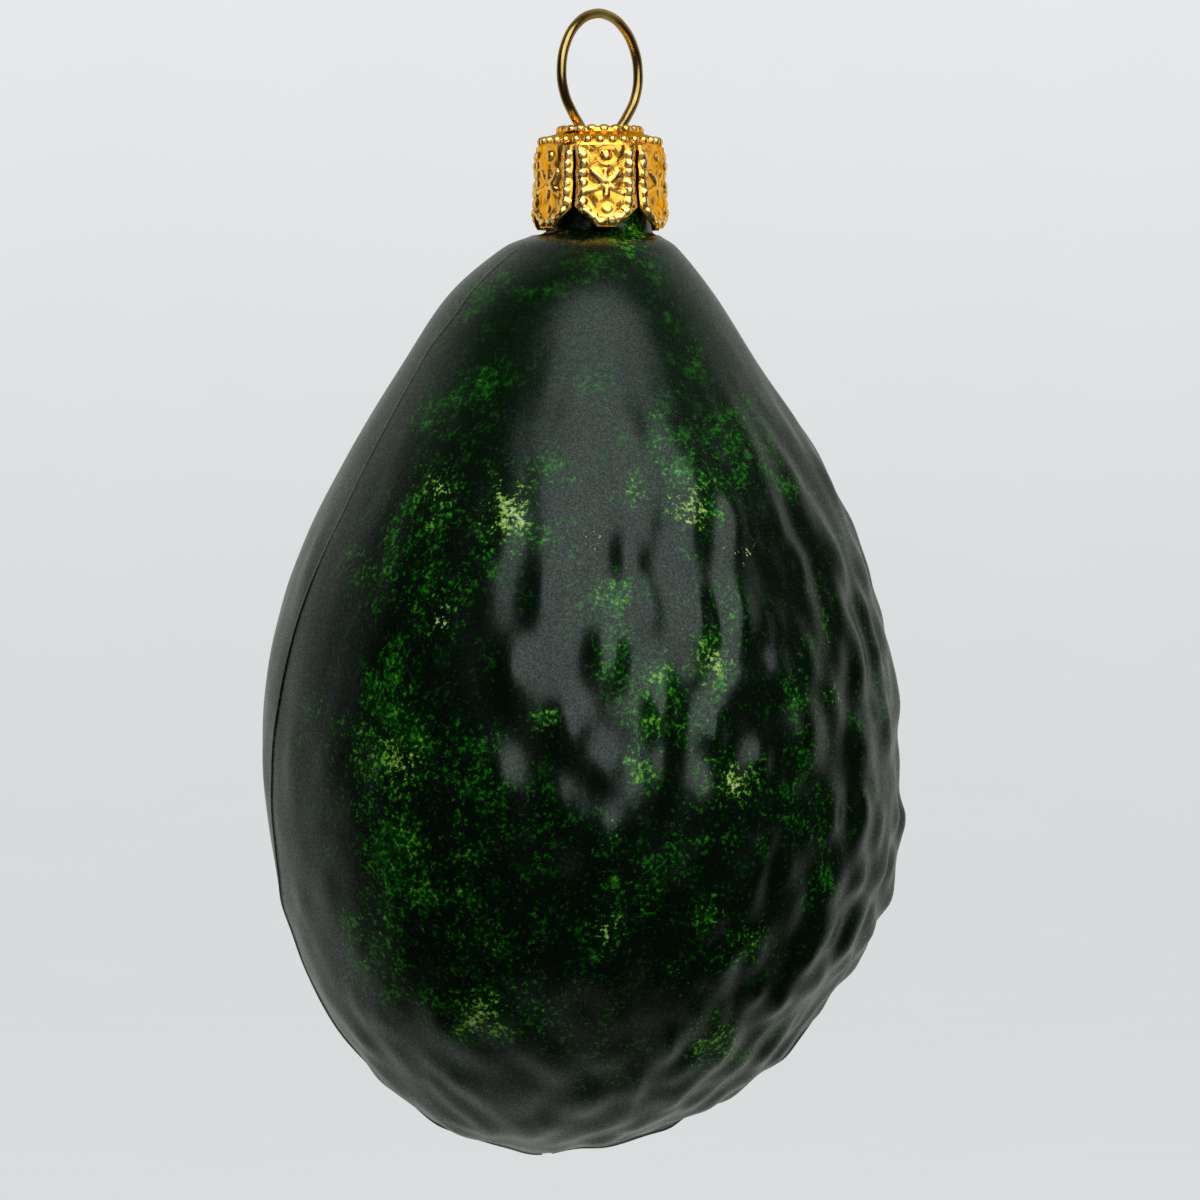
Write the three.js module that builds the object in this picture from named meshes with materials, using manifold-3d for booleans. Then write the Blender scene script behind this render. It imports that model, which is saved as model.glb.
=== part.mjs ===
// A blown-glass tree ornament in the shape of an avocado, hung from a stamped crown cap by a sprung wire loop.
// Millimetres, +Z up. The origin is the inside top of the loop, where a hook bears. +X is the ornament's right
// and -Y its front, so the long shallow side of the fruit is on the left and the lumpy flank on the right.
import * as THREE from "three";
import { mergeVertices } from "three/addons/utils/BufferGeometryUtils.js";
import Module from "manifold-3d";

const wasm = await Module();
wasm.setup();

// Glass: the outline seen from the front, as height, left edge and right edge, from the neck's rim to the bottom.
const OUTLINE = [
  [-12.0, -4.8, 4.8],
  [-19.0, -4.7, 4.7],
  [-20.1, -6.6, 5.7],
  [-21.3, -9.2, 7.3],
  [-25.5, -14.0, 10.6],
  [-32.0, -18.3, 14.7],
  [-40.0, -23.1, 19.7],
  [-48.5, -27.3, 23.5],
  [-57.5, -30.1, 26.1],
  [-66.5, -31.0, 27.2],
  [-75.5, -30.3, 27.2],
  [-84.0, -28.2, 24.7],
  [-91.5, -24.9, 19.8],
  [-98.0, -19.3, 13.2],
  [-102.4, -13.0, 4.9],
  [-104.1, -4.9, -4.9],
];
const BODY_DEPTH = 0.95; // front-to-back size over width, below the neck
const NECK_FOOT = 1; // the outline point where the round neck ends
const SHOULDER = 4; // the outline point below which the fruit's skin is lumpy
const GLASS_WALL = 0.8;
const OUTER_SIDES = 76;
const INNER_SIDES = 28;
const OUTER_ROWS = 4; // rows of facets between two outline points below the shoulder
const INNER_ROWS = 2; // the same inside, and on the neck and shoulder

// Skin relief: lumps on a golden-angle spiral, broad swells and hollows that make the blown shape uneven, and
// lobes that stand on the front, as across, height, size and rise.
const LUMP_COUNT = 560;
const LUMP_WIDTH = 1.75;
const LUMP_HEIGHT = 0.62;
const LUMP_MEAN = 0.27; // what the lumps add on average, taken off so that the outline stays true
const SWELL_COUNT = 44;
const SWELL_WIDTH = 8.5;
const SWELL_HEIGHT = 0.3;
const LOBES = [
  [-7.9, -60.2, 1.6, 0.8],
  [-2.7, -65.0, 1.8, 0.9],
  [0.6, -59.0, 1.7, 0.9],
  [5.5, -63.4, 1.6, 0.95],
  [8.6, -55.8, 1.6, 0.8],
  [11.9, -60.4, 1.5, 0.8],
  [12.6, -55.0, 1.4, 0.6],
  [5.2, -69.2, 1.5, 0.7],
  [-8.6, -69.8, 1.5, 0.75],
  [-3.2, -71.6, 1.4, 0.6],
  [0.6, -74.8, 1.4, 0.75],
  [0.6, -68.6, 1.3, 0.55],
  [10.1, -65.6, 1.5, 0.7],
  [2.6, -49.6, 1.7, 0.7],
  [4.4, -54.6, 1.4, 0.6],
  [-4.6, -53.4, 1.5, 0.5],
];
const LOBE_STRETCH = 1.9;
const LUMP_STRETCH = 1.45;
const TOP_STRETCH = 2.6;
const LOBE_SPACE = 3;
const GOLDEN_ANGLE = Math.PI * (3 - Math.sqrt(5));
const SMOOTH_ABOVE = -27; // the skin is smooth over this height and fully lumpy under the next one
const LUMPY_BELOW = -58;

// Wire: a round loop turned about the vertical, whose legs pinch together in the cap and spring out below it.
const WIRE_RADIUS = 0.45;
const LOOP_RADIUS = 5.47;
const LOOP_CENTRE = WIRE_RADIUS - LOOP_RADIUS;
const LOOP_TURN = THREE.MathUtils.degToRad(50);
const LOOP_LOWEST = THREE.MathUtils.degToRad(-46); // where the round part hands over to the legs
const LOOP_STEPS = 11;
const LEG = [
  [2.75, -10.1],
  [2.2, -10.9],
  [2.15, -12.4],
  [2.7, -17.5],
  [3.6, -21.5],
  [6.4, -28.0],
];
const WIRE_SIDES = 8;
const WIRE_STEPS = 76;

// Cap: one stamped sheet, a flat crown with a raised rim, and a skirt slit into six pointed petals.
const SHEET = 0.35;
const PETALS = 6;
const FRONT_PETAL = THREE.MathUtils.degToRad(-84); // the azimuth of the petal that faces the front
const CROWN_TOP = -10.6;
const RIM_RADIUS = 3.55;
const RIM_TOP = -10.0;
const SKIRT_RADIUS = 5.75;
const SKIRT_FLARE = 6.05;
const PETAL_TIP = -19.4;
const SLIT_TOP = -12.3;
const SLIT_FOOT = -17.6;
const SLIT_HALF = 0.17;
const TIP_HALF = 0.85;
const SLOT_HALF = 0.78; // the two slots in the crown that the wire's legs go through
const SLOT_FROM = 1.35;
const SLOT_TO = 4.25;
const CAP_SIDES = 30;

// Stamped relief on the cap.
const RIM_BEADS = 16;
const TOP_BEADS = 30;
const BEAD = { along: 0.52, up: 0.4, out: 0.34 };
const SUNK = 0.08; // how far the middle of each stamped piece lies under the sheet
const SIDE_BEAD_X = 2.2;
const SIDE_BEAD_ROWS = [-13.1, -14.1, -15.1, -16.1, -17.1];
const EDGE_BEADS = [
  [1.75, -17.95],
  [1.1, -18.5],
  [0.42, -18.9],
];
const BOSS = { z: -12.75, radius: 0.62 };
const LOWER_BOSS = { z: -17.75, radius: 0.55 };
const STAR_CENTRE = -15.5;
const STAR_ARM = 1.75;
const STAR_ANGLES = [90, 48, 136, 198, 342, 270];

const GLASS_LACQUER = new THREE.MeshStandardMaterial({ color: 0x12240f, roughness: 0.42, metalness: 0.0 });
const GILT_SHEET = new THREE.MeshStandardMaterial({ color: 0xd9a441, roughness: 0.3, metalness: 1.0 });
const BRASS_WIRE = new THREE.MeshStandardMaterial({ color: 0xb59a55, roughness: 0.2, metalness: 1.0 });

// A closed three.js geometry as a manifold solid.
function solidOf(geometry) {
  const bare = geometry.clone();
  bare.deleteAttribute("normal");
  bare.deleteAttribute("uv");
  const merged = mergeVertices(bare, 1e-4);
  const vertProperties = merged.attributes.position.array;
  const triVerts = new Uint32Array(merged.index.array);
  return new wasm.Manifold(new wasm.Mesh({ numProp: 3, vertProperties, triVerts }));
}

function geometryOf(solid) {
  const mesh = solid.getMesh();
  const geometry = new THREE.BufferGeometry();
  geometry.setAttribute("position", new THREE.BufferAttribute(mesh.vertProperties, 3));
  geometry.setIndex(new THREE.BufferAttribute(mesh.triVerts, 1));
  geometry.computeVertexNormals();
  return geometry;
}

function namedMesh(name, geometry, material) {
  const mesh = new THREE.Mesh(geometry, material);
  mesh.name = name;
  return mesh;
}

// A profile of [radius, height] pairs turned about the vertical axis.
function turned(profile, sides) {
  const points = profile.map(([radius, height]) => new THREE.Vector2(radius, height));
  return new THREE.LatheGeometry(points, sides).rotateX(Math.PI / 2);
}

// A repeatable number from 0 to 1 for a whole number.
function scatter(n) {
  const value = Math.sin(n * 127.1 + 11.7) * 43758.5453;
  return value - Math.floor(value);
}

// The outline as two curves with the same heights: half its width, and how far its middle lies from the axis.
// The point mirrored past the bottom makes the curves level there.
function outlineCurve(sideways) {
  const points = OUTLINE.map(([z, left, right]) => new THREE.Vector2(sideways(left, right), z));
  const [z, left, right] = OUTLINE[OUTLINE.length - 2];
  const past = sideways(left, right);
  points.push(new THREE.Vector2(sideways === halfWidth ? -past : past, z));
  return new THREE.SplineCurve(points);
}

function halfWidth(left, right) {
  return (right - left) / 2;
}

function middle(left, right) {
  return (right + left) / 2;
}

const widthCurve = outlineCurve(halfWidth);
const middleCurve = outlineCurve(middle);

// Place on the curves for a place on the outline, counted in outline points.
const onCurve = (place) => place / OUTLINE.length;

function depthShare(place) {
  return THREE.MathUtils.lerp(1, BODY_DEPTH, THREE.MathUtils.smoothstep(place, NECK_FOOT, SHOULDER));
}

// The smooth skin at a place on the outline and an azimuth, drawn in by an inset from its surface.
function skinPoint(place, azimuth, inset = 0) {
  const t = onCurve(place);
  const edge = widthCurve.getPoint(t);
  const run = widthCurve.getTangent(t);
  const radius = Math.max(edge.x + run.y * inset, 0);
  return new THREE.Vector3(
    middleCurve.getPoint(t).x + radius * Math.cos(azimuth),
    radius * depthShare(place) * Math.sin(azimuth),
    edge.y - run.x * inset,
  );
}

// How lumpy the skin is at a point: smooth at the top, calm on the left, rough on the right, the back and below.
function roughness(point) {
  const below = THREE.MathUtils.smoothstep(-point.z, -SMOOTH_ABOVE, -LUMPY_BELOW);
  const towardsRight = THREE.MathUtils.smoothstep(point.x + 0.35 * point.y, -30, 18);
  const least = 0.22 + 0.3 * THREE.MathUtils.smoothstep(-point.z, 84, 98);
  return below * (least + (1 - least) * towardsRight);
}

// A smooth hill on the skin, stretched along the fruit by a factor.
function hill(place, azimuth, size, stretch, rise) {
  const centre = skinPoint(place, azimuth);
  const along = skinPoint(place + 0.05, azimuth).sub(skinPoint(place - 0.05, azimuth)).normalize();
  return { centre, along, size, stretch, rise };
}

// The place on the outline at a height, by halving.
function placeAt(height) {
  let above = SHOULDER - 1;
  let below = OUTLINE.length - 1;
  for (let i = 0; i < 30; i++) {
    const between = (above + below) / 2;
    if (widthCurve.getPoint(onCurve(between)).y > height) above = between;
    else below = between;
  }
  return above;
}

// The lobes that stand on the front, given as they are seen from there.
function makeLobes() {
  return LOBES.map(([across, height, size, rise]) => {
    const place = placeAt(height);
    const t = onCurve(place);
    const azimuth = -Math.acos((across - middleCurve.getPoint(t).x) / widthCurve.getPoint(t).x);
    return hill(place, azimuth, size, LOBE_STRETCH, rise);
  });
}

// Hills spread evenly on a golden-angle spiral and then moved a little, with none that crowds a lobe.
function makeHills(count, width, height, seed, lobes) {
  const hills = [];
  const span = OUTLINE.length - 1 - SHOULDER;
  for (let i = 0; i < count; i++) {
    const share = Math.acos(1 - (2 * i + 1) / count) / Math.PI;
    const place = SHOULDER + span * share + 0.3 * (scatter(seed + 5 * i) - 0.5);
    const azimuth = i * GOLDEN_ANGLE + 0.12 * (scatter(seed + i) - 0.5);
    const size = width * (0.8 + 0.4 * scatter(seed + 3 * i));
    const rise = height * (0.3 + 0.9 * scatter(seed + 7 * i));
    const stretch = THREE.MathUtils.lerp(TOP_STRETCH, LUMP_STRETCH, THREE.MathUtils.smoothstep(share, 0.1, 0.6));
    const next = hill(place, azimuth, size, stretch, rise);
    if (lobes.every((lobe) => lobe.centre.distanceTo(next.centre) > LOBE_SPACE)) hills.push(next);
  }
  return hills;
}

const lobes = makeLobes();
const lumps = makeHills(LUMP_COUNT, LUMP_WIDTH, LUMP_HEIGHT, 0, lobes);
const swells = makeHills(SWELL_COUNT, SWELL_WIDTH, SWELL_HEIGHT, 5000, []);
const hollows = makeHills(SWELL_COUNT - 1, SWELL_WIDTH, SWELL_HEIGHT, 9000, []);

// How far a set of hills raises a point.
function hillsAt(point, hills) {
  const away = new THREE.Vector3();
  let sum = 0;
  for (const { centre, along, size, stretch, rise } of hills) {
    away.subVectors(point, centre);
    const lengthwise = away.dot(along);
    const squared = away.lengthSq() + (1 / stretch ** 2 - 1) * lengthwise ** 2;
    sum += rise * Math.exp(-squared / size ** 2);
  }
  return sum;
}

// The swells fade out up at the shoulder and at the sides, where the outline is already drawn as it is.
function swellAt(point) {
  const below = THREE.MathUtils.smoothstep(-point.z, 22, 36);
  const offOutline = THREE.MathUtils.smoothstep(Math.abs(point.y), 4, 16);
  return below * offOutline * (hillsAt(point, swells) - hillsAt(point, hollows));
}

function skinRelief(point) {
  const lumpy = roughness(point) * (hillsAt(point, lumps) - LUMP_MEAN);
  return swellAt(point) + hillsAt(point, lobes) + lumpy;
}

// The places of a skin's rings, from the bottom up.
function ringPlaces(rowsBetween) {
  const places = [OUTLINE.length - 1];
  for (let i = OUTLINE.length - 2; i >= 0; i--) {
    const rows = i < SHOULDER ? INNER_ROWS : rowsBetween;
    for (let row = rows - 1; row >= 0; row--) places.push(i + row / rows);
  }
  return places;
}

// A closed skin of rings from the bottom up to the rim, turned as a lathe and then bent to the outline. Its
// lid stands over the rim by a rise.
function fruitGeometry(sides, rowsBetween, inset, rise) {
  const places = ringPlaces(rowsBetween);
  const rows = places.length - 1;
  const wall = places.map((place) => [1, -place]);
  const geometry = turned([...wall, [0, 0]], sides);
  const position = geometry.attributes.position;
  for (let i = 0; i < position.count; i++) {
    const row = i % (rows + 2);
    const azimuth = Math.atan2(position.getY(i), position.getX(i));
    const point = skinPoint(places[Math.min(row, rows)], row === 0 ? 0 : azimuth, inset);
    if (row >= rows) point.z = OUTLINE[0][0] + rise;
    if (row > rows) point.set(0, 0, point.z);
    position.setXYZ(i, point.x, point.y, point.z);
  }
  geometry.deleteAttribute("normal");
  geometry.deleteAttribute("uv");
  return mergeVertices(geometry, 1e-4);
}

// Moves each point of a skin out along its normal.
function raise(geometry, reliefAt) {
  geometry.computeVertexNormals();
  const { position, normal } = geometry.attributes;
  const point = new THREE.Vector3();
  const outward = new THREE.Vector3();
  for (let i = 0; i < position.count; i++) {
    point.fromBufferAttribute(position, i);
    outward.fromBufferAttribute(normal, i);
    point.addScaledVector(outward, reliefAt(point));
    position.setXYZ(i, point.x, point.y, point.z);
  }
  return geometry;
}

// The glass: a thin blown shell, open at the neck.
function makeGlass() {
  const outside = solidOf(raise(fruitGeometry(OUTER_SIDES, OUTER_ROWS, 0, 0), skinRelief));
  const inside = solidOf(raise(fruitGeometry(INNER_SIDES, INNER_ROWS, GLASS_WALL, 1), swellAt));
  return geometryOf(outside.subtract(inside));
}

// The wire's centre line, from one leg's end round the loop to the other.
function wirePath() {
  const right = LEG.map(([across, z]) => [across, z]).reverse();
  const round = [];
  for (let i = 0; i <= LOOP_STEPS; i++) {
    const angle = LOOP_LOWEST + ((Math.PI - 2 * LOOP_LOWEST) * i) / LOOP_STEPS;
    round.push([LOOP_RADIUS * Math.cos(angle), LOOP_CENTRE + LOOP_RADIUS * Math.sin(angle)]);
  }
  const left = LEG.map(([across, z]) => [-across, z]);
  const points = [...right, ...round, ...left].map(([across, z]) => new THREE.Vector3(across, 0, z));
  return new THREE.CatmullRomCurve3(points);
}

function makeWire() {
  const section = new THREE.Shape().absarc(0, 0, WIRE_RADIUS, 0, 2 * Math.PI);
  const options = { steps: WIRE_STEPS, curveSegments: WIRE_SIDES / 2, extrudePath: wirePath() };
  return new THREE.ExtrudeGeometry(section, options);
}

// The pressed sheet before it is slit: up the outside of the crown and skirt, and back along the inside.
function capSheet() {
  const outside = [
    [0, CROWN_TOP],
    [RIM_RADIUS - 0.6, CROWN_TOP],
    [RIM_RADIUS - 0.25, RIM_TOP],
    [RIM_RADIUS + 0.25, RIM_TOP],
    [RIM_RADIUS + 0.45, CROWN_TOP - 0.1],
    [4.8, CROWN_TOP - 0.35],
    [SKIRT_RADIUS - 0.2, -11.6],
    [SKIRT_RADIUS, SLIT_TOP],
    [SKIRT_RADIUS + 0.05, -15.5],
    [SKIRT_FLARE, -18.0],
    [SKIRT_FLARE, PETAL_TIP],
  ];
  const inside = [
    [SKIRT_FLARE - SHEET, PETAL_TIP],
    [SKIRT_FLARE - SHEET, -18.0],
    [SKIRT_RADIUS + 0.05 - SHEET, -15.5],
    [SKIRT_RADIUS - SHEET, SLIT_TOP],
    [SKIRT_RADIUS - 0.2 - SHEET, -11.75],
    [4.7, CROWN_TOP - 0.35 - SHEET],
    [0, CROWN_TOP - SHEET],
  ];
  return solidOf(turned([...outside, ...inside].reverse(), CAP_SIDES));
}

// What the press cuts away between two petals: a slit that opens into a notch between the tips.
function notchCutter(azimuth) {
  const half = (Math.PI * SKIRT_FLARE) / PETALS - TIP_HALF;
  const shape = new THREE.Shape([
    new THREE.Vector2(-SLIT_HALF, SLIT_TOP),
    new THREE.Vector2(-SLIT_HALF, SLIT_FOOT),
    new THREE.Vector2(-half, PETAL_TIP),
    new THREE.Vector2(-half, PETAL_TIP - 1),
    new THREE.Vector2(half, PETAL_TIP - 1),
    new THREE.Vector2(half, PETAL_TIP),
    new THREE.Vector2(SLIT_HALF, SLIT_FOOT),
    new THREE.Vector2(SLIT_HALF, SLIT_TOP),
  ]);
  const cutter = new THREE.ExtrudeGeometry(shape, { depth: 5, bevelEnabled: false });
  cutter.translate(0, 0, 3.5).rotateX(Math.PI / 2);
  return solidOf(cutter.rotateZ(azimuth + Math.PI / 2));
}

// The slot through crown and rim that one leg of the wire goes down.
function slotCutter(side) {
  const slot = new THREE.BoxGeometry(SLOT_TO - SLOT_FROM, 2 * SLOT_HALF, 3);
  slot.translate((side * (SLOT_FROM + SLOT_TO)) / 2, 0, CROWN_TOP);
  return solidOf(slot.rotateZ(LOOP_TURN));
}

// The radius of the skirt's outer face at a height.
function skirtRadius(z) {
  return SKIRT_RADIUS + (SKIRT_FLARE - SKIRT_RADIUS) * THREE.MathUtils.smoothstep(-z, 14, 18);
}

// A low stamped bead on the skirt, half sunk in it. across and z are its place on the petal.
function bead(petal, across, z, size) {
  const radius = skirtRadius(z) - SUNK;
  const shape = new THREE.OctahedronGeometry(1, 0);
  shape.scale(size.out, size.along, size.up).translate(radius, 0, z);
  return solidOf(shape.rotateZ(petal + across / radius));
}

// One arm of the star, a ridge that tapers to both ends.
function starArm(petal, angle) {
  const turn = THREE.MathUtils.degToRad(angle);
  const arm = new THREE.OctahedronGeometry(1, 0);
  arm.scale(0.22, STAR_ARM / 2, 0.24).translate(0, 0.15 + STAR_ARM / 2, 0).rotateX(turn);
  const radius = skirtRadius(STAR_CENTRE) - SUNK;
  return solidOf(arm.translate(radius, 0, STAR_CENTRE).rotateZ(petal));
}

function petalRelief(petal) {
  const round = (radius) => ({ along: radius, up: radius, out: 0.38 });
  const pieces = [
    bead(petal, 0, BOSS.z, round(BOSS.radius)),
    bead(petal, 0, LOWER_BOSS.z, round(LOWER_BOSS.radius)),
    ...STAR_ANGLES.map((angle) => starArm(petal, angle)),
  ];
  for (const side of [-1, 1]) {
    for (const z of SIDE_BEAD_ROWS) pieces.push(bead(petal, side * SIDE_BEAD_X, z, BEAD));
    for (const [across, z] of EDGE_BEADS) pieces.push(bead(petal, side * across, z, BEAD));
  }
  return pieces;
}

// Beads in rings on the crown's rim and along the top of the skirt.
function beadRing(count, radius, z, size) {
  return Array.from({ length: count }, (_, i) => {
    const shape = new THREE.OctahedronGeometry(size, 0);
    return solidOf(shape.translate(radius, 0, z).rotateZ(FRONT_PETAL + (2 * Math.PI * (i + 0.5)) / count));
  });
}

function makeCap() {
  const petals = Array.from({ length: PETALS }, (_, i) => FRONT_PETAL + (2 * Math.PI * i) / PETALS);
  const relief = [
    ...petals.flatMap(petalRelief),
    ...beadRing(RIM_BEADS, RIM_RADIUS, RIM_TOP - 0.12, 0.36),
    ...beadRing(TOP_BEADS, SKIRT_RADIUS - 0.35, -11.45, 0.36),
  ];
  const cuts = [
    ...petals.map((petal) => notchCutter(petal + Math.PI / PETALS)),
    slotCutter(-1),
    slotCutter(1),
  ];
  const pressed = wasm.Manifold.union([capSheet(), ...relief]);
  return geometryOf(pressed.subtract(wasm.Manifold.union(cuts)));
}

const ornament = new THREE.Group();
ornament.name = "avocado_ornament";
ornament.add(namedMesh("glass_body", makeGlass(), GLASS_LACQUER));
ornament.add(namedMesh("crown_cap", makeCap(), GILT_SHEET));
const wire = namedMesh("wire_hanger", makeWire(), BRASS_WIRE);
wire.rotation.z = LOOP_TURN;
ornament.add(wire);

export default ornament;
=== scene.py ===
# %% [markdown]
# # An avocado of blown glass, to hang on a tree
#
# The ornament is made of three things. A glassblower blows a bubble into a mould shaped like an avocado,
# silvers it inside and lacquers it outside. A stamped metal crown closes its neck. A bent wire spreads
# inside the neck, holds the crown down and makes the loop to hang it by.
#
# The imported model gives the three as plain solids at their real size. This script dresses each of them
# with a finer surface in the same place, and sets up the studio. Lengths are written in millimetres, as
# the maker would measure them, and turned into Blender's metres when a mesh is made.

# %% The frame
import math

import bmesh
import bpy
import numpy as np
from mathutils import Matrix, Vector


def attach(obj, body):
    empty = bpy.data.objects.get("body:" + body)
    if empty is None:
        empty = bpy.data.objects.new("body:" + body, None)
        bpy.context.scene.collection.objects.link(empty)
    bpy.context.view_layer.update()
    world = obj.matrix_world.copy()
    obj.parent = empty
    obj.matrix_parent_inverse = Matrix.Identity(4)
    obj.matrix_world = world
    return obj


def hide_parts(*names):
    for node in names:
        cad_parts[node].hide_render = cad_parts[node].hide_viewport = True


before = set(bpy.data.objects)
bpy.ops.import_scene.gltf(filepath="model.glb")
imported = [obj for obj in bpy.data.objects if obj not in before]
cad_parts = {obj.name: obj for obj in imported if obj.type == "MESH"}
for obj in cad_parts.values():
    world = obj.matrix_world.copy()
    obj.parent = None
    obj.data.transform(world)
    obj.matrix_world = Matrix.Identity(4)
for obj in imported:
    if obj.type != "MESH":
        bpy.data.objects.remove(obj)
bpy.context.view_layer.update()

MM = 0.001

# %% [markdown]
# ## The outline of the fruit
#
# The mould's shape is known from the front: at each height the fruit has a left edge and a right edge. A
# smooth curve through a few such heights gives the half width and the middle at any place between them.
# Turning a flat ellipse of that width about that middle gives the skin. A sculpted mesh could do the
# same, but a rule keeps the skin the same as the solid's, and lets it be as fine as the render needs.

# %% Outline and skin
OUTLINE = np.array([
    [-12.0, -4.8, 4.8],
    [-19.0, -4.7, 4.7],
    [-20.1, -6.6, 5.7],
    [-21.3, -9.2, 7.3],
    [-25.5, -14.0, 10.6],
    [-32.0, -18.3, 14.7],
    [-40.0, -23.1, 19.7],
    [-48.5, -27.3, 23.5],
    [-57.5, -30.1, 26.1],
    [-66.5, -31.0, 27.2],
    [-75.5, -30.3, 27.2],
    [-84.0, -28.2, 24.7],
    [-91.5, -24.9, 19.8],
    [-98.0, -19.3, 13.2],
    [-102.4, -13.0, 4.9],
    [-104.1, -4.9, -4.9],
])
BODY_DEPTH = 0.95
NECK_FOOT, SHOULDER, BOTTOM = 1, 4, len(OUTLINE) - 1


def smoothstep(value, low, high):
    share = np.clip((value - low) / (high - low), 0, 1)
    return share * share * (3 - 2 * share)


half_width = (OUTLINE[:, 2] - OUTLINE[:, 1]) / 2
middle = (OUTLINE[:, 2] + OUTLINE[:, 1]) / 2
past_bottom = [[-half_width[-2], middle[-2], OUTLINE[-2, 0]]]
stations = np.vstack([np.column_stack([half_width, middle, OUTLINE[:, 0]]), past_bottom])


def at_place(place):
    """Half width, middle and height at a place counted in outline points."""
    place = np.asarray(place, float)
    i = np.clip(np.floor(place).astype(int), 0, len(stations) - 2)
    w = (place - i)[..., None]
    before, start = stations[np.maximum(i - 1, 0)], stations[i]
    end, after = stations[i + 1], stations[np.minimum(i + 2, len(stations) - 1)]
    leave, arrive = (end - before) / 2, (after - start) / 2
    cubic = 2 * start - 2 * end + leave + arrive
    square = 3 * end - 3 * start - 2 * leave - arrive
    return cubic * w**3 + square * w**2 + leave * w + start


def skin(place, azimuth, inset=0.0):
    """Points of the smooth skin, or of one drawn in by an inset."""
    here = at_place(place)
    run = at_place(np.asarray(place, float) + 1e-3) - at_place(np.asarray(place, float) - 1e-3)
    run /= np.hypot(run[..., 0], run[..., 2])[..., None]
    radius = np.maximum(here[..., 0] + run[..., 2] * inset, 0)
    depth = 1 + (BODY_DEPTH - 1) * smoothstep(place, NECK_FOOT, SHOULDER)
    return np.stack([
        here[..., 1] + radius * np.cos(azimuth),
        radius * depth * np.sin(azimuth),
        here[..., 2] - run[..., 0] * inset,
    ], axis=-1)


print("widest at", round(float(at_place(np.linspace(0, BOTTOM, 500))[:, 0].max() * 2), 1), "mm")

# %% [markdown]
# ## The lumps of the skin
#
# An avocado's skin is pebbled, most of all low down and on one flank, and the mould carries that relief.
# Each lump here is a smooth hill, longer than it is wide, set on a golden-angle spiral so that the lumps
# cover the skin evenly without lining up. Small pebbles roughen the lumps, broad swells and hollows keep
# the blown shape from looking turned on a lathe, and a few lobes stand on the front where the eye falls
# first, each written as across, height, size and rise. A noise texture would be quicker, but its bumps
# have no direction and no even spacing.

# %% Hills on the skin
LUMP_COUNT, LUMP_WIDTH, LUMP_HEIGHT, LUMP_MEAN = 560, 1.75, 0.62, 0.27
SWELL_COUNT, SWELL_WIDTH, SWELL_HEIGHT = 44, 8.5, 0.3
PEBBLE_COUNT, PEBBLE_WIDTH, PEBBLE_HEIGHT, PEBBLE_MEAN = 1500, 1.2, 0.4, 0.22
LOBE_STRETCH, LUMP_STRETCH, TOP_STRETCH, LOBE_SPACE = 1.9, 1.45, 2.6, 3.0
LOBES = [
    [-7.9, -60.2, 1.6, 0.8],
    [-2.7, -65.0, 1.8, 0.9],
    [0.6, -59.0, 1.7, 0.9],
    [5.5, -63.4, 1.6, 0.95],
    [8.6, -55.8, 1.6, 0.8],
    [11.9, -60.4, 1.5, 0.8],
    [12.6, -55.0, 1.4, 0.6],
    [5.2, -69.2, 1.5, 0.7],
    [-8.6, -69.8, 1.5, 0.75],
    [-3.2, -71.6, 1.4, 0.6],
    [0.6, -74.8, 1.4, 0.75],
    [0.6, -68.6, 1.3, 0.55],
    [10.1, -65.6, 1.5, 0.7],
    [2.6, -49.6, 1.7, 0.7],
    [4.4, -54.6, 1.4, 0.6],
    [-4.6, -53.4, 1.5, 0.5],
]
GOLDEN_ANGLE = math.pi * (3 - math.sqrt(5))
PLACE_JITTER, TURN_JITTER = 0.3, 0.12


def scatter(n):
    """A repeatable number from 0 to 1 for each whole number."""
    value = np.sin(n * 127.1 + 11.7) * 43758.5453
    return value - np.floor(value)


def hills_from(place, azimuth, size, stretch, rise):
    """Hills at places on the skin, each with the direction down the skin that it is stretched along."""
    along = skin(place + 0.05, azimuth) - skin(place - 0.05, azimuth)
    along /= np.linalg.norm(along, axis=-1, keepdims=True)
    return {"centre": skin(place, azimuth), "along": along, "size": size, "stretch": stretch, "rise": rise}


def spiral_hills(count, width, height, seed, clear_of=None):
    """Hills spread evenly over the skin, left out where others stand already."""
    i = np.arange(count)
    share = np.arccos(1 - (2 * i + 1) / count) / math.pi
    place = SHOULDER + (BOTTOM - SHOULDER) * share + PLACE_JITTER * (scatter(seed + 5 * i) - 0.5)
    azimuth = i * GOLDEN_ANGLE + TURN_JITTER * (scatter(seed + i) - 0.5)
    size = width * (0.8 + 0.4 * scatter(seed + 3 * i))
    rise = height * (0.3 + 0.9 * scatter(seed + 7 * i))
    stretch = TOP_STRETCH + (LUMP_STRETCH - TOP_STRETCH) * smoothstep(share, 0.1, 0.6)
    hills = hills_from(place, azimuth, size, stretch, rise)
    if clear_of is not None:
        gaps = np.linalg.norm(hills["centre"][:, None] - clear_of["centre"][None], axis=-1)
        keep = gaps.min(axis=1) > LOBE_SPACE
        hills = {name: values[keep] for name, values in hills.items()}
    return hills


def front_lobes():
    """The listed lobes, put where the front of the skin has their place across and height."""
    across, height, size, rise = np.array(LOBES).T
    places = np.linspace(SHOULDER - 1, BOTTOM, 20001)
    place = np.interp(-height, -at_place(places)[:, 2], places)
    here = at_place(place)
    azimuth = -np.arccos((across - here[:, 1]) / here[:, 0])
    return hills_from(place, azimuth, size, np.full(len(size), LOBE_STRETCH), rise)


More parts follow.
